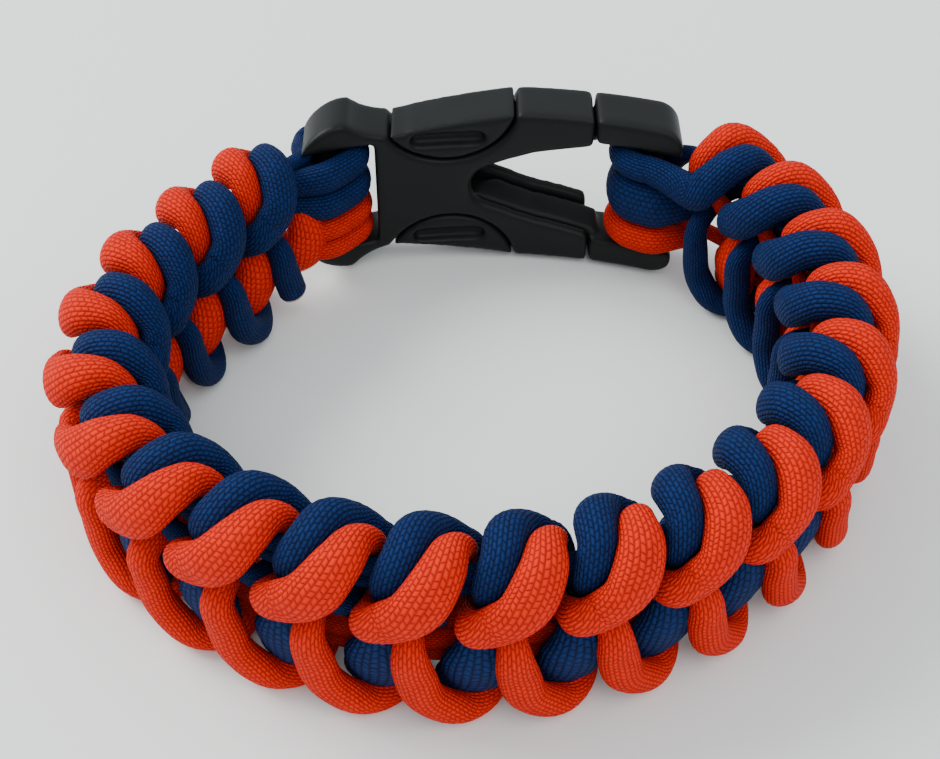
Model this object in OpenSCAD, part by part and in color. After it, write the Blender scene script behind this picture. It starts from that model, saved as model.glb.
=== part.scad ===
/* [Weave] */
// Length of one repeat of the weave along the band
pitch = 7.9; // [7:0.1:9.5]
// Repeats of the weave from end to end
repeats = 20; // [16:1:24]
// Height of the band, from its lower to its upper edge
band_h = 20.4; // [18:0.2:24]
// Thickness of the band, from its inner to its outer face
band_t = 10.5; // [9:0.25:12]
// Share of its room in the weave that each cord fills
cord_fill = 0.95; // [0.85:0.01:0.96]

/* [Core cords] */
// Thickness of a core cord where it goes round a strap bar
loop_t = 2.8; // [2:0.1:3.2]
// Share of the left slot's height that the navy core cords take
left_blue_share = 0.58; // [0.5:0.01:0.65]
// Share of the right slot's height that the navy core cords take
right_blue_share = 0.46; // [0.4:0.01:0.5]
// Share of the right slot's height that the orange core cords take
right_orange_share = 0.28; // [0.22:0.01:0.3]
// Distance along the band from the left strap bar to the weave
left_lead = 3.4; // [2.6:0.1:6]
// Distance along the band from the weave to the right strap bar
right_lead = 2.6; // [2.6:0.1:6]
// Gap between neighbouring cords round a strap bar
loop_gap = 0.25; // [0.15:0.05:0.5]

/* [Buckle] */
// Distance between the two strap bars, centre to centre
bar_span = 35; // [33:0.5:44]
// How far the buckle stands back from the band's upper and lower edges
buckle_inset = 0.4; // [0:0.1:1]
// Thickness of the buckle
buckle_t = 5.8; // [4.8:0.1:7]
// Radius of the buckle's curve round the wrist
buckle_r = 60; // [45:1:120]
// Height of the rail above and below each slot
rail_h = 3.2; // [2.6:0.1:3.8]
// Reach of the rails past a strap bar's centre
rail_reach = 3; // [2.2:0.1:4]
// Diameter of a strap bar
bar_d = 3; // [2.4:0.1:3.6]
// Width of a slot beside its bar
slot_w = 3.6; // [3.5:0.1:5.5]
// Reach of the prong half's plate out of the mouth
lip = 1.2; // [0.8:0.1:1.6]
// Wall of the socket half
shell_wall = 1.2; // [0.8:0.1:1.5]
// Gap between the two halves of the buckle
part_gap = 0.2; // [0.15:0.05:0.4]
// Height of the arms above and below the notch, at the mouth
arm_h = 3.2; // [2.6:0.1:4]
// Radius of the notch's round inner end
apex_r = 3; // [2:0.1:3.4]
// Depth of a side window
window_d = 6; // [4.6:0.1:6.2]
// Length of a side window along the buckle
window_l = 15; // [12:0.2:15.6]
// Depth of the grip recess in each side button
grip_d = 1.1; // [0.5:0.1:1.2]
// Height of the grip recess
grip_h = 1.6; // [0.8:0.1:1.8]
// Distance of the grip recess's middle from the buckle's edge
grip_in = 3.2; // [2.8:0.1:3.6]
// Depth of the dip in the outline where a window starts
dip_d = 2.2; // [1.2:0.1:2.6]
// Radius of the dip
dip_r = 6.5; // [4:0.5:8]
// Radius of the buckle's outer corners at the socket's end
heel_r = 5; // [3.4:0.1:5.6]
// Radius of the buckle's outer corners at the prongs' end
toe_r = 2.4; // [1.8:0.1:3]
// How far the prongs stand back from the notch's edge
prong_inset = 0.3; // [0.2:0.1:1]

/* [Hidden] */

orange = "orangered";
navy = "midnightblue";
plastic = "#1e2121";

half_h = band_h / 2;
half_t = band_t / 2;
// The two working cords' repeats lie this share of the pitch apart
STAGGER = 0.75;
woven_l = pitch * (repeats + STAGGER);
// Distance along the band of the first orange repeat
first = pitch / 4;
buckle_h = band_h - 2 * buckle_inset;
notch_h = buckle_h - 2 * arm_h;
X = [1, 0, 0];
UP = [0, 0, 1];

function unit(v) = v / norm(v);
function mix(a, b, t) = a + (b - a) * t;
function times(a, b) = [a.x * b.x, a.y * b.y, a.z * b.z];

// Plan of the band: arcs from its left end round the front to its right end
ARC_SHARE = 0;
ARC_TURN = 1;
ARCS = [
    // share of the woven length, share of the turn
    [0.13, 0.045],
    [0.185, 0.265],
    [0.38, 0.325],
    [0.23, 0.245],
    [0.075, 0.12],
];

// A place on the plan is x, y, heading. Each arc goes on from the place before it
function along_arc(at, l, turn) =
    let (r = l / (turn * PI / 180), h = at.z + turn)
    [at.x + r * (sin(h) - sin(at.z)), at.y - r * (cos(h) - cos(at.z)), h];
function ahead(at, l) = [at.x + l * cos(at.z), at.y + l * sin(at.z), at.z];
function places(turn, at, i = 0) =
    i == len(ARCS) ? [at] :
    concat([at], places(turn, along_arc(at, ARCS[i][ARC_SHARE] * woven_l, ARCS[i][ARC_TURN] * turn), i + 1));

// The band turns just as far as brings its two ends to the strap bars
function right_bar(turn) = ahead(places(turn, [left_lead, 0, 0])[len(ARCS)], right_lead);
function span_for(turn) = let (p = right_bar(turn)) norm([p.x, p.y]);
LEAST_TURN = 180;
MOST_TURN = 340;
function turn_for(span, low = LEAST_TURN, high = MOST_TURN, steps = 24) =
    steps == 0 ? (low + high) / 2 :
    let (mid = (low + high) / 2)
    span_for(mid) > span ? turn_for(span, mid, high, steps - 1) : turn_for(span, low, mid, steps - 1);
turn = turn_for(bar_span);

// The strap bars lie along X at y = 0, behind the wrist, and the band goes round the front
bar_x = bar_span / 2;
start_heading = -atan2(right_bar(turn).y, right_bar(turn).x);
arc_place = places(turn, ahead([-bar_x, 0, start_heading], left_lead));
arc_share_before = [for (i = 0, share = 0; i < len(ARCS); share = share + ARCS[i][ARC_SHARE], i = i + 1) share];

// Place on the plan at a distance s along the band. Before and past the weave it runs straight on
function plan(s) =
    s <= 0 ? ahead(arc_place[0], s) :
    s >= woven_l ? ahead(arc_place[len(ARCS)], s - woven_l) :
    let (
        i = max([for (k = [0:len(ARCS) - 1]) if (arc_share_before[k] * woven_l <= s) k]),
        d = s - arc_share_before[i] * woven_l
    )
    along_arc(arc_place[i], d, ARCS[i][ARC_TURN] * turn * d / (ARCS[i][ARC_SHARE] * woven_l));

// A point given as distance along the band, distance outwards and height from mid-height
function bend(p) = let (c = plan(p.x)) [c.x + p.y * sin(c.z), c.y - p.y * cos(c.z), p.z];

// One repeat of the orange strand. It comes through the middle of the band, crosses the outer face
// as a bar, goes over the upper edge and down inside, back out through the middle, round the lower
// edge as a loop and up inside. Places and half sizes are shares of the pitch, half_t and half_h
WEAVE = [
    // along, out, up, half size along, half size out, half size up
    [0.01,  0.06,  0.10, 0.08, 0.24, 0.14],
    [0.10,  0.71,  0.34, 0.18, 0.26, 0.18],
    [0.34,  0.80,  0.45, 0.28, 0.26, 0.21],
    [0.58,  0.76,  0.61, 0.28, 0.26, 0.21],
    [0.77,  0.39,  0.80, 0.25, 0.30, 0.19],
    [0.87, -0.08,  0.81, 0.21, 0.23, 0.16],
    [0.97, -0.38,  0.63, 0.20, 0.18, 0.17],
    [0.97, -0.34,  0.44, 0.14, 0.14, 0.14],
    [0.76, -0.31,  0.35, 0.14, 0.12, 0.10],
    [0.49, -0.16,  0.14, 0.09, 0.20, 0.12],
    [0.48,  0.68,  0.02, 0.16, 0.25, 0.16],
    [0.53,  0.76, -0.30, 0.21, 0.25, 0.17],
    [0.64,  0.74, -0.62, 0.21, 0.27, 0.16],
    [0.95,  0.62, -0.85, 0.22, 0.28, 0.14],
    [1.25,  0.25, -0.88, 0.20, 0.25, 0.14],
    [1.30, -0.15, -0.70, 0.19, 0.17, 0.14],
    [1.13, -0.34, -0.55, 0.27, 0.17, 0.18],
    [1.07, -0.43, -0.27, 0.28, 0.20, 0.19],
    [1.06, -0.32, -0.06, 0.17, 0.20, 0.16],
];
ROWS = len(WEAVE);
RINGS = 26;
SIDES = 6;

scale_place = [pitch, half_t, half_h];
function weave_row(k, r) =
    [times([r[0] + k, r[1], r[2]], scale_place), times([r[3], r[4], r[5]], scale_place) * cord_fill, X];
// The orange strand starts inside with the last rows of a repeat, where its cut end shows
CUT_START = 3;
start_rows = [for (i = [ROWS - CUT_START:ROWS - 1]) weave_row(-1, WEAVE[i])];
repeat_rows = [for (k = [0:repeats - 1]) for (r = WEAVE) weave_row(k, r)];
// The last repeat ends at the bottom of its loop
CUT_OFF = 6;
whole_rows = [for (i = [0:len(repeat_rows) - 1 - CUT_OFF]) repeat_rows[i]];
orange_rows = concat(start_rows, whole_rows);

// Cords stacked in a slot from its top: two navy core cords over two orange ones at the left bar, and
// the navy strand's start over the navy and orange core cords at the right bar
slot_top = buckle_h / 2 - rail_h;
loop_r = bar_d / 2 + loop_gap + loop_t / 2;
left_room = 2 * slot_top - 3 * loop_gap;
left_blue_w = left_room * left_blue_share;
left_blue_up = slot_top - loop_gap - left_blue_w / 2;
left_orange_w = left_room - left_blue_w;
left_orange_up = -slot_top + loop_gap + left_orange_w / 2;
right_room = 2 * slot_top - 4 * loop_gap;
right_blue_w = right_room * right_blue_share;
right_orange_w = right_room * right_orange_share;
start_w = right_room - right_blue_w - right_orange_w;
start_up = slot_top - loop_gap - start_w / 2;
right_blue_up = start_up - start_w / 2 - loop_gap - right_blue_w / 2;
right_orange_up = -slot_top + loop_gap + right_orange_w / 2;

// The navy strand starts on the outer side, goes round the right strap bar and runs straight on into
// its first bar. Its distance along is counted from its first repeat, so the strap bar lies before 0
start_bar = -(right_lead + first);
function start_row(along, out) =
    [[start_bar + along, out, start_up], [loop_t / 2, loop_t / 2, start_w / 2], -UP];
blue_start = concat(
    [start_row(right_lead / 3, -loop_r)],
    [for (a = [0:30:180]) start_row(-loop_r * sin(a), -loop_r * cos(a))],
    [start_row(right_lead / 2, loop_r)]
);
SKIPPED = 2;
blue_rows = concat(blue_start, [for (i = [SKIPPED:len(whole_rows) - 1]) whole_rows[i]]);

// A smooth curve through four neighbouring rows, and its direction
function smooth(p, t) =
    (2 * p[1] + (p[2] - p[0]) * t + (2 * p[0] - 5 * p[1] + 4 * p[2] - p[3]) * t * t
    + (3 * p[1] - p[0] - 3 * p[2] + p[3]) * t * t * t) / 2;
function smooth_way(p, t) =
    (p[2] - p[0] + 2 * (2 * p[0] - 5 * p[1] + 4 * p[2] - p[3]) * t
    + 3 * (3 * p[1] - p[0] - 3 * p[2] + p[3]) * t * t) / 2;
function four(rows, i, part) = [for (k = [i - 1:i + 2]) rows[min(max(k, 0), len(rows) - 1)][part]];

// A ring of a strand, squashed to its half sizes, and all its rings
function ring(rows, u) =
    let (
        i = min(floor(u), len(rows) - 2), t = u - i,
        at = smooth(four(rows, i, 0), t), size = smooth(four(rows, i, 1), t),
        way = unit(smooth_way(four(rows, i, 0), t)),
        a = unit(cross(way, smooth(four(rows, i, 2), t))), b = cross(way, a)
    )
    [for (k = [0:SIDES - 1]) at + times(a * cos(360 * k / SIDES) + b * sin(360 * k / SIDES), size)];
function rings(rows) =
    let (n = floor((len(rows) - 1) * RINGS / ROWS))
    [for (k = [0:n]) ring(rows, (len(rows) - 1) * k / n)];

// The navy strand is the orange one turned half round about an upright line
orange_rings = [for (r = rings(orange_rows)) [for (p = r) bend([first + p.x, p.y, p.z])]];
blue_rings = [for (r = rings(blue_rows)) [for (p = r) bend([woven_l - first - p.x, -p.y, p.z])]];

// A core cord's ring at a place beside the plan. Its thickness lies along the given side direction
CORE_SIDES = 8;
core_t = 0.29 * half_t;
core_w = 0.27 * half_h;
blue_core_up = 0.51 * half_h;
orange_core_up = -0.41 * half_h;
function core_ring(s, out, up, t, w, side = [0, 1]) =
    let (
        h = plan(s).z,
        across = [cos(h) * side.x + sin(h) * side.y, sin(h) * side.x - cos(h) * side.y, 0]
    )
    [for (k = [0.5:CORE_SIDES - 0.5])
        bend([s, out, up]) + across * t / 2 * cos(360 * k / CORE_SIDES) + UP * w / 2 * sin(360 * k / CORE_SIDES)];

// Rings out of the weave along the outer side, round a strap bar and back along the inner side. The
// lead runs from the weave to the bar, and way is 1 at the right end and -1 at the left end
LOOP_STEPS = 6;
LEG_STEPS = 3;
function loop_rings(bar_s, lead, way, core_up, up, w) = concat(
    [for (k = [1:LEG_STEPS - 1]) let (t = k / LEG_STEPS, soon = min(1, 1.5 * t))
        core_ring(bar_s - way * lead * (1 - t), loop_r * (1 - (1 - t) * (1 - t)), mix(core_up, up, soon),
            mix(core_t, loop_t, t), mix(core_w, w, soon))],
    [for (k = [0:LOOP_STEPS]) let (a = 180 * k / LOOP_STEPS)
        core_ring(bar_s + way * loop_r * sin(a), loop_r * cos(a), up, loop_t, w, [way * sin(a), cos(a)])],
    [for (k = [1:LEG_STEPS - 1]) let (t = k / LEG_STEPS)
        core_ring(bar_s - way * lead * t, -loop_r, up, mix(loop_t, core_t, t), mix(w, core_w, t), [0, -1])]
);
function reversed(list) = [for (k = [len(list) - 1:-1:0]) list[k]];
function core_rings(core_up, left_up, left_w, right_up, right_w) = concat(
    reversed(loop_rings(-left_lead, left_lead, -1, core_up, left_up, left_w)),
    [for (k = [0:2 * repeats + 1]) core_ring(woven_l * k / (2 * repeats + 1), 0, core_up, core_t, core_w)],
    loop_rings(woven_l + right_lead, right_lead, 1, core_up, right_up, right_w)
);

// The curved buckle's middle surface passes through both strap bars
curve_y = -sqrt(buckle_r * buckle_r - bar_x * bar_x);
buckle_back = curve_y + buckle_r + buckle_t / 2;

// The origin is under the middle of the bracelet's box
strand_points = [for (r = concat(orange_rings, blue_rings)) each r];
xs = [for (p = strand_points) p.x];
ys = [for (p = strand_points) p.y];
zs = [for (p = strand_points) p.z];
to_origin = [-(min(xs) + max(xs)) / 2, -(min(ys) + buckle_back) / 2, -min(zs)];

// A closed tube through rings of points
module tube(rings) {
    n = len(rings[0]);
    last = (len(rings) - 1) * n;
    translate(to_origin)
    polyhedron(
        points = [for (r = rings) for (p = r) p],
        faces = concat(
            [[for (k = [n - 1:-1:0]) k]],
            [for (i = [0:len(rings) - 2]) for (k = [0:n - 1])
                let (m = (k + 1) % n) each [
                    [i * n + k, (i + 1) * n + m, (i + 1) * n + k],
                    [i * n + k, i * n + m, (i + 1) * n + m]]],
            [[for (k = [0:n - 1]) last + k]]
        ),
        convexity = 10
    );
}

module orange_strand() {
    color(orange) tube(orange_rings);
}

module blue_strand() {
    color(navy) tube(blue_rings);
}

module blue_core() {
    color(navy)
    tube(core_rings(blue_core_up, left_blue_up, left_blue_w, right_blue_up, right_blue_w));
}

module orange_core() {
    color(orange)
    tube(core_rings(orange_core_up, left_orange_up, left_orange_w, right_orange_up, right_orange_w));
}

// The buckle's sizes along X, from the middle between its strap bars
body_end = bar_x - bar_d / 2 - slot_w;
mouth_x = body_end - lip;
window_x = -0.36 * body_end;
window_r = (window_l * window_l / 4 + window_d * window_d) / (2 * window_d);
// The cavity ends where the outline dips most, near the windows' start. The outline rises again up to
// the windows' far end
dip_x = window_x - 0.4 * window_l;
dip_end = window_x + window_l / 2;
cavity_end = dip_x;
grip_l = 0.54 * window_l;
// The notch widens in two stages, with a shoulder between, and narrows towards the outer face
apex_x = 0.06 * body_end;
shoulder_x = 0.4 * body_end;
shoulder_h = 0.72 * notch_h;
notch_taper = 0.8 * apex_r;
cavity_t = buckle_t - 2 * shell_wall;

// An outline, drawn from the inner side, cut out of the curved wall between two depths
module wall(from = -buckle_t / 2, to = buckle_t / 2) {
    intersection() {
        translate([0, curve_y, -buckle_h]) difference() {
            cylinder(h = 2 * buckle_h, r = buckle_r + to, $fn = 180);
            translate([0, 0, -buckle_h / 2]) cylinder(h = 3 * buckle_h, r = buckle_r + from, $fn = 180);
        }
        rotate([90, 0, 0]) linear_extrude(buckle_r, center = true) children();
    }
}

// A bar with round ends, from left to right, with its middle at a height
module slat(left, right, up, h) {
    translate([left + h / 2, up - h / 2]) square([right - left - h, h]);
    for (x = [left + h / 2, right - h / 2]) translate([x, up]) circle(d = h, $fn = 48);
}

module block(left, right, h) {
    translate([left, -h / 2]) square([right - left, h]);
}

module block_between(one, other, h) {
    translate([min(one, other), 0]) square([abs(other - one), h]);
}

// The rails above and below a slot. Their far ends have round outer corners
module rails(near, far, corner_r) {
    way = sign(far);
    middle = far - way * corner_r;
    for (side = [-1, 1]) intersection() {
        translate([0, side * (buckle_h - rail_h) / 2 - rail_h / 2]) block_between(near, far, rail_h);
        union() {
            translate([middle, side * (buckle_h / 2 - corner_r)]) circle(r = corner_r, $fn = 64);
            translate([0, -buckle_h]) block_between(near, middle, 2 * buckle_h);
        }
    }
}

// Round windows at the upper and lower edge, and the dips beside them
module windows(grow) {
    for (side = [-1, 1])
        translate([window_x, side * (buckle_h / 2 + window_r - window_d)]) circle(r = window_r + grow, $fn = 96);
}

module dips() {
    for (side = [-1, 1]) scale([1, side]) translate([0, buckle_h / 2]) {
        translate([dip_x, dip_r - dip_d]) circle(r = dip_r, $fn = 96);
        polygon([[dip_x, -dip_d], [dip_end, 0], [dip_end, dip_r], [dip_x, dip_r]]);
    }
}

// The notch's outline opens from a round apex towards the mouth
module notch(grow) {
    translate([apex_x, 0]) circle(r = apex_r + grow, $fn = 64);
    half = [
        [apex_x, apex_r + grow],
        [shoulder_x, shoulder_h / 2 + grow],
        [body_end + apex_r, notch_h / 2 + grow],
    ];
    polygon(concat(half, [for (p = reversed(half)) [p.x, -p.y]]));
}

// The notch through the wall. Its outline stands before the inner face, wider by the taper, and at the
// outer face, narrower by the taper
module notch_cut(grow) {
    hull() for (side = [-1, 1])
        translate([0, buckle_back - buckle_t + side * buckle_t, 0])
            rotate([90, 0, 0]) linear_extrude(part_gap, center = true) notch(grow - side * notch_taper);
}

module strap_bar(side) {
    translate([side * bar_x, 0, -buckle_h / 2 + rail_h / 2])
        cylinder(h = buckle_h - rail_h, d = bar_d, $fn = 48);
}

module buckle_female() {
    color(plastic) translate(to_origin) {
        difference() {
            wall() difference() {
                union() {
                    rails(-body_end + rail_h, -bar_x - rail_reach, heel_r);
                    block(-body_end, mouth_x, buckle_h);
                }
                windows(0);
                dips();
            }
            wall(-cavity_t / 2, cavity_t / 2)
                block(cavity_end, body_end, buckle_h - 2 * shell_wall);
            notch_cut(0);
        }
        strap_bar(-1);
    }
}

module buckle_male() {
    inner_t = cavity_t - 2 * part_gap;
    color(plastic) translate(to_origin) {
        difference() {
            union() {
                // Two prongs inside the socket, joined only at the strap bar
                difference() {
                    wall(-inner_t / 2, inner_t / 2) difference() {
                        block(cavity_end + part_gap, body_end, buckle_h - 2 * shell_wall - 2 * part_gap);
                        block(cavity_end, apex_x, 2 * prong_inset + apex_r);
                    }
                    notch_cut(prong_inset);
                }
                // Side buttons that fill the windows
                wall() intersection() {
                    windows(-part_gap);
                    block(-bar_x, bar_x, buckle_h);
                }
            }
            wall(-buckle_t, buckle_t) dips();
            wall(-buckle_t, -buckle_t / 2 + grip_d)
                for (side = [-1, 1])
                    slat(window_x - grip_l / 2, window_x + grip_l / 2, side * (buckle_h / 2 - grip_in), grip_h);
        }
        wall() rails(mouth_x + part_gap, bar_x + rail_reach, toe_r);
        strap_bar(1);
    }
}

orange_strand();
blue_strand();
blue_core();
orange_core();
buckle_female();
buckle_male();
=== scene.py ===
import math

import bmesh
import bpy
import numpy as np
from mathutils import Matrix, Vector


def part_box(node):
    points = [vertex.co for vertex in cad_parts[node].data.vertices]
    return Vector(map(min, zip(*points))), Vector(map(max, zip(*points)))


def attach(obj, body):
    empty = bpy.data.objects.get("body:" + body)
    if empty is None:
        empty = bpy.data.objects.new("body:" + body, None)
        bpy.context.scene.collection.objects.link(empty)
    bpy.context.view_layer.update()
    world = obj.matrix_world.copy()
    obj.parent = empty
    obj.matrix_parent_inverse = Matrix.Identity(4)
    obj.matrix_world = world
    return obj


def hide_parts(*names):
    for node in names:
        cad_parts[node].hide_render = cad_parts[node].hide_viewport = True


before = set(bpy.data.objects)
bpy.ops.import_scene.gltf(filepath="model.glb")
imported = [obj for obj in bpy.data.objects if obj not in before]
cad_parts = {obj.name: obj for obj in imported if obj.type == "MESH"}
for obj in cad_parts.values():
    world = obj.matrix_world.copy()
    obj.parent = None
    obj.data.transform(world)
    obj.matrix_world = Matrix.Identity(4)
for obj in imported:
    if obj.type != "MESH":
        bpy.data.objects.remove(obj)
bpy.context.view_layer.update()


# The view
# The bracelet stands on its edge and is seen from the front and above, with the buckle at the back.
# The camera stands close, so the front of the band looks larger than the buckle.

MM = 0.001
LOOK_DOWN = math.radians(45.55)
CAMERA_DISTANCE = 163.7 * MM
LOOKED_AT = Vector((-0.7 * MM, 9.2 * MM, 0))
LENS = 58.9
SENSOR_WIDTH = 36
CAMERA_NEAR = 10 * MM


def place_camera():
    """The camera looks down at a point on the floor inside the band"""
    camera = bpy.data.objects.new("camera", bpy.data.cameras.new("camera"))
    bpy.context.collection.objects.link(camera)
    back = Vector((0, -math.cos(LOOK_DOWN), math.sin(LOOK_DOWN)))
    camera.location = LOOKED_AT + back * CAMERA_DISTANCE
    camera.rotation_euler = (math.pi / 2 - LOOK_DOWN, 0, 0)
    camera.data.lens = LENS
    camera.data.sensor_width = SENSOR_WIDTH
    camera.data.clip_start = CAMERA_NEAR
    bpy.context.scene.camera = camera


place_camera()


# The table
# A plain pale table top under soft studio light, from a wide lamp behind at the left and a weaker one
# in front at the right. It isn't part of the bracelet.

TABLE_SHADE = (0.86, 0.91, 0.89)
TABLE_BLOTCH = (0.90, 0.93, 0.91)
TABLE_SIZE = 3.0
SKY_SHADE = (0.9, 0.95, 1.0)
SKY_STRENGTH = 0.96


def deselect():
    if bpy.context.mode != "OBJECT":
        bpy.ops.object.mode_set(mode="OBJECT")
    bpy.ops.object.select_all(action="DESELECT")


class Wire:
    """A shader socket that takes part in written maths"""

    def __init__(self, tree, socket):
        self.tree = tree
        self.socket = socket

    def make(self, kind, settings, inputs, out=0):
        """Adds a node with its settings and its sockets' values or links"""
        node = self.tree.nodes.new(kind)
        for name, value in settings.items():
            setattr(node, name, value)
        for key, value in inputs.items():
            if isinstance(value, Wire):
                self.tree.links.new(value.socket, node.inputs[key])
            else:
                node.inputs[key].default_value = value
        return Wire(self.tree, node.outputs[out])

    def maths(self, operation, first, second=0.0):
        return self.make("ShaderNodeMath", {"operation": operation}, {0: first, 1: second})

    def mixed(self, shade, other):
        """Mixes two colours by this value"""
        inputs = {0: self, 6: (*shade, 1), 7: (*other, 1)}
        return self.make("ShaderNodeMix", {"data_type": "RGBA"}, inputs, out=2)

    def noise(self, scale, detail):
        return self.make("ShaderNodeTexNoise", {}, {"Vector": self, "Scale": scale, "Detail": detail})

    def bumped(self, strength, distance):
        """The normal of a surface that this height raises"""
        inputs = {"Strength": strength, "Distance": distance, "Height": self}
        return self.make("ShaderNodeBump", {}, inputs)

    def __add__(self, other):
        return self.maths("ADD", self, other)

    def __radd__(self, other):
        return self.maths("ADD", other, self)

    def __sub__(self, other):
        return self.maths("SUBTRACT", self, other)

    def __rsub__(self, other):
        return self.maths("SUBTRACT", other, self)

    def __mul__(self, other):
        return self.maths("MULTIPLY", self, other)

    def __rmul__(self, other):
        return self.maths("MULTIPLY", other, self)

    def __pow__(self, other):
        return self.maths("POWER", self, other)


def new_material(name, roughness, settings):
    """A material with its shader, and a wire to start the maths from"""
    material = bpy.data.materials.new(name)
    material.use_nodes = True
    tree = material.node_tree
    shader = tree.nodes["Principled BSDF"]
    shader.inputs["Roughness"].default_value = roughness
    for key, value in settings.items():
        shader.inputs[key].default_value = value
    start = Wire(tree, tree.nodes.new("ShaderNodeTexCoord").outputs["Object"])
    return material, shader, start


def feed(wire, shader, socket):
    wire.tree.links.new(wire.socket, shader.inputs[socket])


def table_material():
    material, shader, start = new_material("table", roughness=0.6, settings={"Specular IOR Level": 0.3})
    feed(start.noise(scale=9.0, detail=3.0).mixed(TABLE_SHADE, TABLE_BLOTCH), shader, "Base Color")
    return material


def add_light(name, size, place, aim, watts, shade):
    light = bpy.data.objects.new(name, bpy.data.lights.new(name, "AREA"))
    bpy.context.collection.objects.link(light)
    light.data.shape = "DISK"
    light.data.size = size
    light.data.energy = watts
    light.data.color = shade
    light.location = place
    light.rotation_euler = (Vector(aim) - Vector(place)).to_track_quat("-Z", "Y").to_euler()


def set_stage():
    deselect()
    bpy.ops.mesh.primitive_plane_add(size=TABLE_SIZE, location=(0, 0, 0))
    table = bpy.context.object
    table.name = "table"
    table.data.materials.append(table_material())
    world = bpy.data.worlds.new("studio")
    bpy.context.scene.world = world
    world.use_nodes = True
    sky = world.node_tree.nodes["Background"]
    sky.inputs["Color"].default_value = (*SKY_SHADE, 1)
    sky.inputs["Strength"].default_value = SKY_STRENGTH
    add_light("window", size=0.6, place=(-0.62, 0.3, 0.6), aim=(0, 0.06, 0), watts=9.5,
              shade=(1.0, 0.99, 0.97))
    add_light("room", size=0.9, place=(0.3, -0.5, 0.8), aim=(0, 0, 0), watts=4.0,
              shade=(1.0, 0.98, 0.96))


set_stage()


# The orange strand
# A round braided nylon cord, about 4 mm thick. It crosses the outer face as a bar, goes over the
# upper edge, down inside, out through the middle, round the lower edge and up inside, 20 times.

# Sizes of the cords and the buckle are in millimetres, which bend turns into metres
PITCH = 7.9
REPEATS = 20
STAGGER = 0.75
BAND_H = 20.4
BAND_T = 10.5
HALF_H = BAND_H / 2
HALF_T = BAND_T / 2
WOVEN_L = PITCH * (REPEATS + STAGGER)
FIRST = PITCH / 4
LEFT_LEAD = 3.4
RIGHT_LEAD = 2.6
BAR_SPAN = 35
BAR_X = BAR_SPAN / 2
BUCKLE_T = 5.8
BUCKLE_R = 60
RAIL_REACH = 3

# Share of the woven length, share of the turn. They are the rounded output of a program that fitted
# the plan to the places of the bars
ARCS = [(0.13, 0.045), (0.185, 0.265), (0.38, 0.325), (0.23, 0.245), (0.075, 0.12)]

# Along, out, up, half size along, half size out, half size up. A program moved listed rows until
# the cords cleared each other, and its output was rounded. Only rows 7 to 9, counted from 0, were
# then set one by one
WEAVE = [
    (0.01, 0.06, 0.10, 0.08, 0.24, 0.14),
    (0.10, 0.71, 0.34, 0.18, 0.26, 0.18),
    (0.34, 0.80, 0.45, 0.28, 0.26, 0.21),
    (0.58, 0.76, 0.61, 0.28, 0.26, 0.21),
    (0.77, 0.39, 0.80, 0.25, 0.30, 0.19),
    (0.87, -0.08, 0.81, 0.21, 0.23, 0.16),
    (0.97, -0.38, 0.63, 0.20, 0.18, 0.17),
    (0.97, -0.34, 0.44, 0.14, 0.14, 0.14),
    (0.76, -0.31, 0.35, 0.14, 0.12, 0.10),
    (0.49, -0.16, 0.14, 0.09, 0.20, 0.12),
    (0.48, 0.68, 0.02, 0.16, 0.25, 0.16),
    (0.53, 0.76, -0.30, 0.21, 0.25, 0.17),
    (0.64, 0.74, -0.62, 0.21, 0.27, 0.16),
    (0.95, 0.62, -0.85, 0.22, 0.28, 0.14),
    (1.25, 0.25, -0.88, 0.20, 0.25, 0.14),
    (1.30, -0.15, -0.70, 0.19, 0.17, 0.14),
    (1.13, -0.34, -0.55, 0.27, 0.17, 0.18),
    (1.07, -0.43, -0.27, 0.28, 0.20, 0.19),
    (1.06, -0.32, -0.06, 0.17, 0.20, 0.16),
]
# The strand starts inside with the last rows of a repeat, and ends at the bottom of its last loop
CUT_START = 3
CUT_OFF = 6
# The cord fills its room in the weave, so that neighbours press on each other. The soft legs inside
# the lower half of the band fill it more
FILL = 1.02
LEG_FILL = 1.4
STEPS_PER_ROW = 6
SIDES = 20
# A cut end is rounded off over a few rings, down to a small flat tip
DOME_RINGS = 5
DOME_REACH = 0.7
DOME_TIP = 0.08
CLOSING_STEPS = 40


def along_arc(place, length, turn):
    """The place reached along an arc from a place, both as x, y and heading"""
    x, y, heading = place
    radius = length / turn
    ahead_heading = heading + turn
    return (x + radius * (math.sin(ahead_heading) - math.sin(heading)),
            y - radius * (math.cos(ahead_heading) - math.cos(heading)),
            ahead_heading)


def straight_on(place, length):
    x, y, heading = place
    return (x + length * math.cos(heading), y + length * math.sin(heading), heading)


def arc_places(turn, place):
    places = [place]
    for length_share, turn_share in ARCS:
        places.append(along_arc(places[-1], length_share * WOVEN_L, turn_share * turn))
    return places


def right_bar(turn):
    return straight_on(arc_places(turn, (LEFT_LEAD, 0, 0))[-1], RIGHT_LEAD)


def closing_turn():
    """The turn that brings the band's two ends to the buckle's bars"""
    low, high = math.pi, 2 * math.pi
    for step in range(CLOSING_STEPS):
        middle = (low + high) / 2
        x, y, heading = right_bar(middle)
        if math.hypot(x, y) > BAR_SPAN:
            low = middle
        else:
            high = middle
    return (low + high) / 2


TURN = closing_turn()
END_BAR = right_bar(TURN)
START_HEADING = -math.atan2(END_BAR[1], END_BAR[0])
PLACES = arc_places(TURN, straight_on((-BAR_X, 0, START_HEADING), LEFT_LEAD))
CURVE_Y = -math.sqrt(BUCKLE_R ** 2 - BAR_X ** 2)

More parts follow.
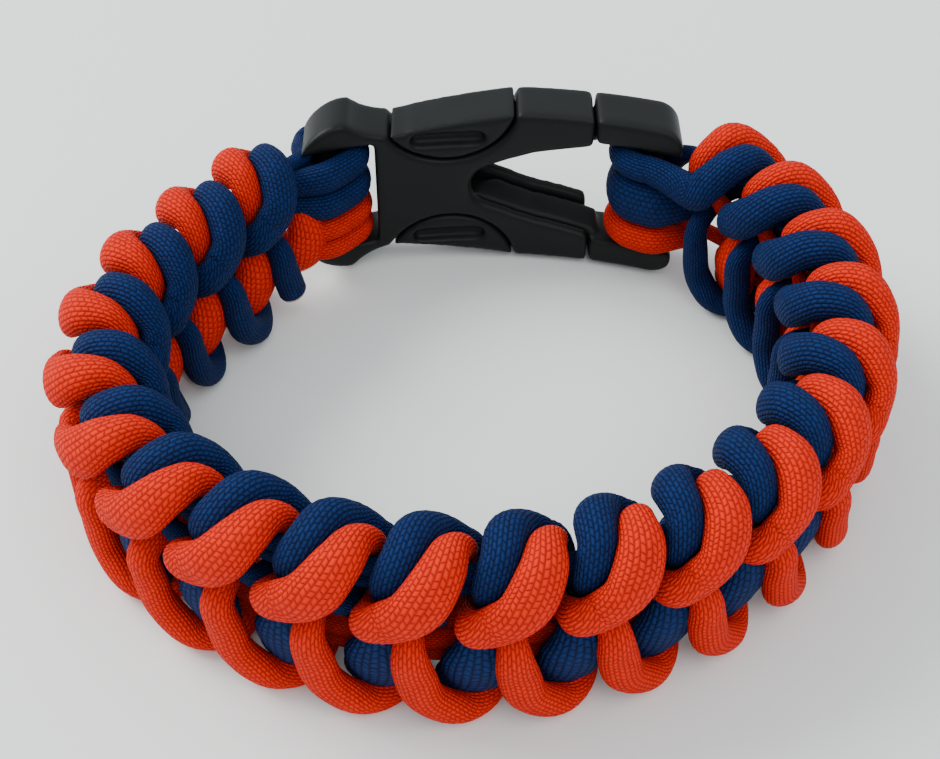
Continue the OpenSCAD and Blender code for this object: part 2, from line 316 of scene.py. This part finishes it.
# The bars' middle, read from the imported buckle
socket_low, socket_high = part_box("buckle_female")
prong_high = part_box("buckle_male")[1]
BUCKLE_H = (socket_high[2] - socket_low[2]) / MM
TO_ORIGIN = np.array([
    prong_high[0] / MM - BAR_X - RAIL_REACH,
    socket_high[1] / MM - (CURVE_Y + BUCKLE_R + BUCKLE_T / 2),
    (socket_low[2] + socket_high[2]) / 2 / MM,
])


def plan(distance):
    """The place on the plan of the band at a distance along it"""
    if distance <= 0:
        return straight_on(PLACES[0], distance)
    before = 0
    for place, (length_share, turn_share) in zip(PLACES, ARCS):
        length = length_share * WOVEN_L
        if distance < before + length:
            part = (distance - before) / length
            return along_arc(place, distance - before, turn_share * TURN * part) if part else place
        before += length
    return straight_on(PLACES[-1], distance - WOVEN_L)


def bend(points):
    """Turns along, out and up into metres in the frame"""
    bent = []
    for along, out, up in points:
        x, y, heading = plan(along)
        bent.append((x + out * math.sin(heading), y - out * math.cos(heading), up))
    return (np.array(bent) + TO_ORIGIN) * MM


SCALE = np.array([PITCH, HALF_T, HALF_H])
ALONG = np.array([1.0, 0, 0])
UP = np.array([0, 0, 1.0])


def weave_row(repeat, row):
    along, out, up, *half = row
    fill = LEG_FILL if out < 0 and up < 0 else FILL
    return np.array([along + repeat, out, up]) * SCALE, np.array(half) * SCALE * fill, ALONG


def weave_rows():
    """Places, half sizes and side directions of all the repeats"""
    rows = [weave_row(repeat, row) for repeat in range(REPEATS) for row in WEAVE]
    return rows[:len(rows) - CUT_OFF]


def smooth_rows(rows):
    """A smooth curve through the rows: places, directions, half sizes and sides"""
    padded = [rows[0]] + rows + [rows[-1]]
    tables = [np.array([row[part] for row in padded]) for part in range(3)]
    ends = len(rows) - 1
    at = np.linspace(0, ends, ends * STEPS_PER_ROW + 1)
    first = np.minimum(at.astype(int), ends - 1)
    t = (at - first)[:, None]

    def curve(table):
        a, b, c, d = (table[first + k] for k in range(4))
        return (2 * b + (c - a) * t + (2 * a - 5 * b + 4 * c - d) * t ** 2
                + (3 * b - a - 3 * c + d) * t ** 3) / 2

    def way(table):
        a, b, c, d = (table[first + k] for k in range(4))
        return c - a + 2 * (2 * a - 5 * b + 4 * c - d) * t + 3 * (3 * b - a - 3 * c + d) * t ** 2

    places, halves, refs = (curve(table) for table in tables)
    ways = way(tables[0])
    ways /= np.linalg.norm(ways, axis=1)[:, None]
    return places, ways, halves, refs


def cord_rings(rows):
    """Rings of points round the smooth curve, squashed to the half sizes"""
    places, ways, halves, refs = smooth_rows(rows)
    side = np.cross(ways, refs)
    side /= np.linalg.norm(side, axis=1)[:, None]
    other = np.cross(ways, side)
    angles = np.linspace(0, 2 * math.pi, SIDES, endpoint=False)
    rings = []
    for place, a, b, half in zip(places, side, other, halves):
        circle = np.outer(np.cos(angles), a) + np.outer(np.sin(angles), b)
        rings.append(place + circle * half)
    return np.array(rings)


MELTED_DARK = (0.34, 0.2, 0.19)
MELTED_PALE = (0.75, 0.5, 0.45)


def melted_nylon():
    """Where a cord's end was sealed over a flame"""
    material, shader, start = new_material("melted_nylon", roughness=0.25, settings={"Coat Weight": 0.4})
    feed(start.noise(scale=700.0, detail=2.0).mixed(MELTED_DARK, MELTED_PALE), shader, "Base Color")
    return material


melted = melted_nylon()


def mesh_of_rings(name, material, rings, melted_start=False, melted_end=False):
    """A closed tube with a map of turns round it and metres along it. A melted end has the second
    material"""
    count, sides = rings.shape[:2]
    points = rings.reshape(-1, 3)
    faces = []
    for ring in range(count - 1):
        for side in range(sides):
            after = (side + 1) % sides
            low, high = ring * sides, (ring + 1) * sides
            faces.append((low + side, low + after, high + after, high + side))
    faces.append(tuple(range(sides))[::-1])
    faces.append(tuple(range((count - 1) * sides, count * sides)))
    mesh = bpy.data.meshes.new(name)
    mesh.from_pydata(points.tolist(), [], faces)
    middles = rings.mean(axis=1)
    lengths = np.concatenate([[0], np.cumsum(np.linalg.norm(np.diff(middles, axis=0), axis=1))])
    cord_map = mesh.uv_layers.new(name="cord")
    coordinates = []
    for ring in range(count - 1):
        for side in range(sides):
            here, there = side / sides, (side + 1) / sides
            coordinates += [here, lengths[ring], there, lengths[ring],
                            there, lengths[ring + 1], here, lengths[ring + 1]]
    for end in (0, count - 1):
        coordinates += [0.5, lengths[end]] * sides
    cord_map.data.foreach_set("uv", coordinates)
    mesh.polygons.foreach_set("use_smooth", [True] * len(mesh.polygons))
    slots = np.zeros(len(mesh.polygons), dtype=int)
    if melted_start:
        slots[:sides * DOME_RINGS] = 1
        slots[-2] = 1
    if melted_end:
        slots[sides * (count - 1 - DOME_RINGS):-2] = 1
        slots[-1] = 1
    mesh.materials.append(material)
    mesh.materials.append(melted)
    mesh.polygons.foreach_set("material_index", slots)
    piece = bpy.data.objects.new(name, mesh)
    bpy.context.collection.objects.link(piece)
    working = bmesh.new()
    working.from_mesh(mesh)
    bmesh.ops.recalc_face_normals(working, faces=working.faces)
    working.to_mesh(mesh)
    working.free()
    return piece


def domed(rings):
    """Rounds the cut ends off over a few more rings"""
    parts = [rings]
    turns = np.linspace(0, math.pi / 2, DOME_RINGS + 1)[1:]
    for end, inner in ((0, 1), (-1, -2)):
        middle = rings[end].mean(axis=0)
        out = middle - rings[inner].mean(axis=0)
        out /= np.linalg.norm(out)
        reach = np.linalg.norm(rings[end] - middle, axis=1).min() * DOME_REACH
        cap = np.array([middle + (rings[end] - middle) * max(math.cos(t), DOME_TIP)
                        + out * reach * math.sin(t) for t in turns])
        parts = [cap[::-1]] + parts if end == 0 else parts + [cap]
    return np.concatenate(parts)


SHEATH_COLUMNS = 26
STITCHES_PER_MM = 1.9
STITCH_SLANT = 0.28
# A power under 1 makes the stitches flatter on top
STITCH_POWER = 0.8
LEAST_HUMP = 0.001
STITCH_RELIEF = 0.16 * MM
FIBRE_RELIEF = 0.25
# How far a stitch's brightness follows its height, chance and the fibres. Following the height paints shade
# into the gaps between stitches and a highlight onto their tops. Chance and the fibres vary the tone at
# random
PAINTED_LIGHT_BY_HEIGHT = 0.8
BRIGHT_BY_CHANCE = 0.22
BRIGHT_BY_FIBRE = 0.14


def cord_material(name, deep, bright):
    """A braided sheath: columns of small slanting stitches, packed side by side"""
    material, shader, start = new_material(name, roughness=0.75, settings={"Specular IOR Level": 0.1})
    cord_map = start.make("ShaderNodeUVMap", {"uv_map": "cord"}, {})
    around = cord_map.make("ShaderNodeSeparateXYZ", {}, {0: cord_map}) * SHEATH_COLUMNS
    along = cord_map.make("ShaderNodeSeparateXYZ", {}, {0: cord_map}, out=1) * (1 / MM)
    column = around.maths("FLOOR", around)
    across = around - column - 0.5
    # Every other column lies half a stitch further on and slants the other way
    odd = column.maths("MODULO", column, 2.0)
    stitch = along * STITCHES_PER_MM + odd * 0.5 + across * (odd * 2 - 1) * STITCH_SLANT
    number = stitch.maths("FLOOR", stitch)
    step = stitch - number - 0.5
    hump = (1 - 4 * across * across) * (1 - (2 * step) ** 4)
    height = hump.maths("MAXIMUM", hump, LEAST_HUMP) ** STITCH_POWER
    cell = column.make("ShaderNodeCombineXYZ", {}, {0: column, 1: number})
    chance = cell.make("ShaderNodeTexWhiteNoise", {"noise_dimensions": "2D"}, {"Vector": cell})
    fibre = start.noise(scale=900.0, detail=2.0)
    # Painted shade and highlight: the gaps between stitches take the deep colour and the stitch tops the
    # bright one. Chance and the fibres add random tone
    painted_shade_and_tone = height * PAINTED_LIGHT_BY_HEIGHT + chance * BRIGHT_BY_CHANCE + fibre * BRIGHT_BY_FIBRE
    shade = painted_shade_and_tone.maths("MINIMUM", painted_shade_and_tone.maths("MAXIMUM", painted_shade_and_tone, 0.0), 1.0)
    feed(shade.mixed(deep, bright), shader, "Base Color")
    relief = height + fibre * FIBRE_RELIEF
    feed(relief.bumped(strength=0.9, distance=STITCH_RELIEF), shader, "Normal")
    return material


def finish(piece, node):
    """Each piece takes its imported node's place, and all ride on the one body"""
    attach(piece, "root")
    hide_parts(node)


def orange_strand():
    start = [weave_row(-1, row) for row in WEAVE[-CUT_START:]]
    rings = cord_rings(start + weave_rows())
    rings[..., 0] += FIRST
    bent = np.array([bend(ring) for ring in domed(rings)])
    return mesh_of_rings("orange_strand_sheath", orange_cord, bent, melted_start=True)


# The deep colour is painted shade between the stitches and the bright one a painted highlight on their
# tops, and random tone lies between them
orange_cord = cord_material("orange_cord", deep=(0.34, 0.006, 0.0015), bright=(0.76, 0.02, 0.003))
finish(orange_strand(), "orange_strand")


# The navy strand
# The same cord in navy. It follows the orange one turned half round, and starts behind the right
# strap bar, round which it goes before it runs on into its first bar.

LOOP_T = 2.8
LOOP_GAP = 0.25
BAR_D = 3
RAIL_H = 3.2
SLOT_TOP = BUCKLE_H / 2 - RAIL_H
LOOP_R = BAR_D / 2 + LOOP_GAP + LOOP_T / 2
# Shares of the right slot's height that the core cords take
RIGHT_BLUE_SHARE = 0.46
RIGHT_ORANGE_SHARE = 0.28
RIGHT_ROOM = 2 * SLOT_TOP - 4 * LOOP_GAP
START_W = RIGHT_ROOM * (1 - RIGHT_BLUE_SHARE - RIGHT_ORANGE_SHARE)
START_UP = SLOT_TOP - LOOP_GAP - START_W / 2
# Rows of the first repeat that the way round the bar takes the place of
SKIPPED = 2
# Steps of the half turn round a strap bar
HALF_TURN = [math.radians(a) for a in range(0, 181, 30)]


def start_row(along, out):
    place = np.array([along - (RIGHT_LEAD + FIRST), out, START_UP])
    return place, np.array([LOOP_T, LOOP_T, START_W]) / 2, -UP


def navy_rows():
    rows = [start_row(RIGHT_LEAD / 3, -LOOP_R)]
    rows += [start_row(-LOOP_R * math.sin(a), -LOOP_R * math.cos(a)) for a in HALF_TURN]
    rows += [start_row(RIGHT_LEAD / 2, LOOP_R)]
    return rows + weave_rows()[SKIPPED:]


def navy_strand():
    rings = domed(cord_rings(navy_rows()))
    rings[..., 0] = WOVEN_L - FIRST - rings[..., 0]
    rings[..., 1] = -rings[..., 1]
    bent = np.array([bend(ring) for ring in rings])
    return mesh_of_rings("navy_strand_sheath", navy_cord, bent, melted_end=True)


navy_cord = cord_material("navy_cord", deep=(0.001, 0.003, 0.016), bright=(0.0055, 0.023, 0.105))
finish(navy_strand(), "blue_strand")


# The core cords
# Two navy and two orange cords of the same nylon lie side by side inside the weave. At each end they
# go round a strap bar of the buckle and back into the weave, which holds them. At the right bar each
# pair is folded into one flat loop.

LEFT_BLUE_SHARE = 0.58
CORE_T = 0.34 * HALF_T
CORE_W = 0.32 * HALF_H
NAVY_CORE_UP = 0.51 * HALF_H
ORANGE_CORE_UP = -0.41 * HALF_H
# Coming out of the weave, the cords reach their height and width at the bar sooner than their place
SOONER = 1.5
# The end of a loop runs on into the weave by this length, moves to the middle and gets smaller
TUCKED = 3
LEG_OUT = 0.9
TUCKED_OUT = 0.2
TUCKED_SIZE = 0.8
LEFT_ROOM = 2 * SLOT_TOP - 3 * LOOP_GAP
LEFT_BLUE_W = LEFT_ROOM * LEFT_BLUE_SHARE
LEFT_ORANGE_W = LEFT_ROOM - LEFT_BLUE_W
RIGHT_BLUE_W = RIGHT_ROOM * RIGHT_BLUE_SHARE
RIGHT_ORANGE_W = RIGHT_ROOM * RIGHT_ORANGE_SHARE


def core_row(along, out, up, thick, high, half):
    """One of a pair of cords: half is 1 for the upper cord and -1 for the lower one, or 0 where the
    pair shows as one flat cord"""
    place = np.array([along, out, up + half * high / 4])
    return place, np.array([thick / 2, thick / 2, high / 4 if half else high / 2]), -UP


def loop_rows(bar, lead, way, core_up, up, high, half):
    """Out of the weave, round a strap bar and back into the weave along the inner side"""
    rows = []
    for t in (1 / 3, 2 / 3):
        soon = min(1, SOONER * t)
        rows.append(core_row(bar - way * lead * (1 - t), LOOP_R * (1 - (1 - t) ** 2),
                             core_up + (up - core_up) * soon, CORE_T + (LOOP_T - CORE_T) * t,
                             CORE_W + (high - CORE_W) * soon, half))
    for a in HALF_TURN:
        along = bar + way * LOOP_R * math.sin(a)
        rows.append(core_row(along, LOOP_R * math.cos(a), up, LOOP_T, high, half))
    rows.append(core_row(bar - way * lead, -LOOP_R * LEG_OUT, up, LOOP_T, high, half))
    rows.append(core_row(bar - way * (lead + TUCKED), -LOOP_R * TUCKED_OUT, up,
                         LOOP_T * TUCKED_SIZE, high * TUCKED_SIZE, half))
    return rows


def core_pair(name, material, node, core_up, left, right):
    """Joins the upper and the lower cord of one colour. At the right bar they lie folded as one flat
    cord, so the lower one ends inside the weave"""
    cords = []
    for half in (1, -1):
        rows = loop_rows(-LEFT_LEAD, LEFT_LEAD, -1, core_up, *left, half)[::-1]
        for k in range(2 * REPEATS + 1 + half):
            rows.append(core_row(k * PITCH / 2, 0, core_up, CORE_T, CORE_W, half))
        if half == 1:
            rows += loop_rows(WOVEN_L + RIGHT_LEAD, RIGHT_LEAD, 1, core_up, *right, 0)
        bent = np.array([bend(ring) for ring in domed(cord_rings(rows))])
        cords.append(mesh_of_rings(name, material, bent, melted_start=half == -1))
    deselect()
    for cord in cords:
        cord.select_set(True)
    bpy.context.view_layer.objects.active = cords[0]
    bpy.ops.object.join()
    finish(cords[0], node)


core_pair("navy_core_cords", navy_cord, "blue_core", NAVY_CORE_UP,
          (SLOT_TOP - LOOP_GAP - LEFT_BLUE_W / 2, LEFT_BLUE_W),
          (START_UP - START_W / 2 - LOOP_GAP - RIGHT_BLUE_W / 2, RIGHT_BLUE_W))
core_pair("orange_core_cords", orange_cord, "orange_core", ORANGE_CORE_UP,
          (-SLOT_TOP + LOOP_GAP + LEFT_ORANGE_W / 2, LEFT_ORANGE_W),
          (-SLOT_TOP + LOOP_GAP + RIGHT_ORANGE_W / 2, RIGHT_ORANGE_W))


# The buckle
# A side-release buckle in two halves, moulded in dark acetal with rounded edges and a satin finish. The
# prong half is pushed into the socket half, and cords go round the strap bar of each half.

MOULD_MERGE = 0.002 * MM
MOULD_GRID = 0.17 * MM
MOULD_SMOOTHING = 64
MOULD_SMOOTHING_FACTOR = 0.5
ACETAL_DARK = (0.006, 0.0075, 0.0075)
ACETAL_PALE = (0.011, 0.0132, 0.013)
# The satin finish: its least roughness, and how far the cloudiness and the grain raise it
SATIN = 0.3
SATIN_BY_CLOUD = 0.16
SATIN_BY_GRAIN = 0.1
GRAIN_RELIEF = 0.03 * MM


def acetal_material():
    material, shader, start = new_material("acetal", roughness=SATIN, settings={"Specular IOR Level": 0.14})
    cloud = start.noise(scale=160.0, detail=4.0)
    grain = start.noise(scale=2600.0, detail=2.0)
    feed(cloud.mixed(ACETAL_DARK, ACETAL_PALE), shader, "Base Color")
    feed(cloud * SATIN_BY_CLOUD + grain * SATIN_BY_GRAIN + SATIN, shader, "Roughness")
    feed(grain.bumped(strength=0.35, distance=GRAIN_RELIEF), shader, "Normal")
    return material


acetal = acetal_material()


def moulded(node):
    """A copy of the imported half, with its sharp edges rounded"""
    mesh = bpy.data.objects[node].data.copy()
    working = bmesh.new()
    working.from_mesh(mesh)
    bmesh.ops.remove_doubles(working, verts=working.verts, dist=MOULD_MERGE)
    working.to_mesh(mesh)
    working.free()
    mesh.materials.clear()
    mesh.materials.append(acetal)
    piece = bpy.data.objects.new(node + "_moulding", mesh)
    bpy.context.collection.objects.link(piece)
    deselect()
    bpy.context.view_layer.objects.active = piece
    piece.select_set(True)
    grid = piece.modifiers.new("grid", "REMESH")
    grid.mode = "VOXEL"
    grid.voxel_size = MOULD_GRID
    grid.use_smooth_shade = True
    bpy.ops.object.modifier_apply(modifier=grid.name)
    soften = piece.modifiers.new("soften", "SMOOTH")
    soften.factor = MOULD_SMOOTHING_FACTOR
    soften.iterations = MOULD_SMOOTHING
    bpy.ops.object.modifier_apply(modifier=soften.name)
    return piece


for half in ("buckle_female", "buckle_male"):
    finish(moulded(half), half)
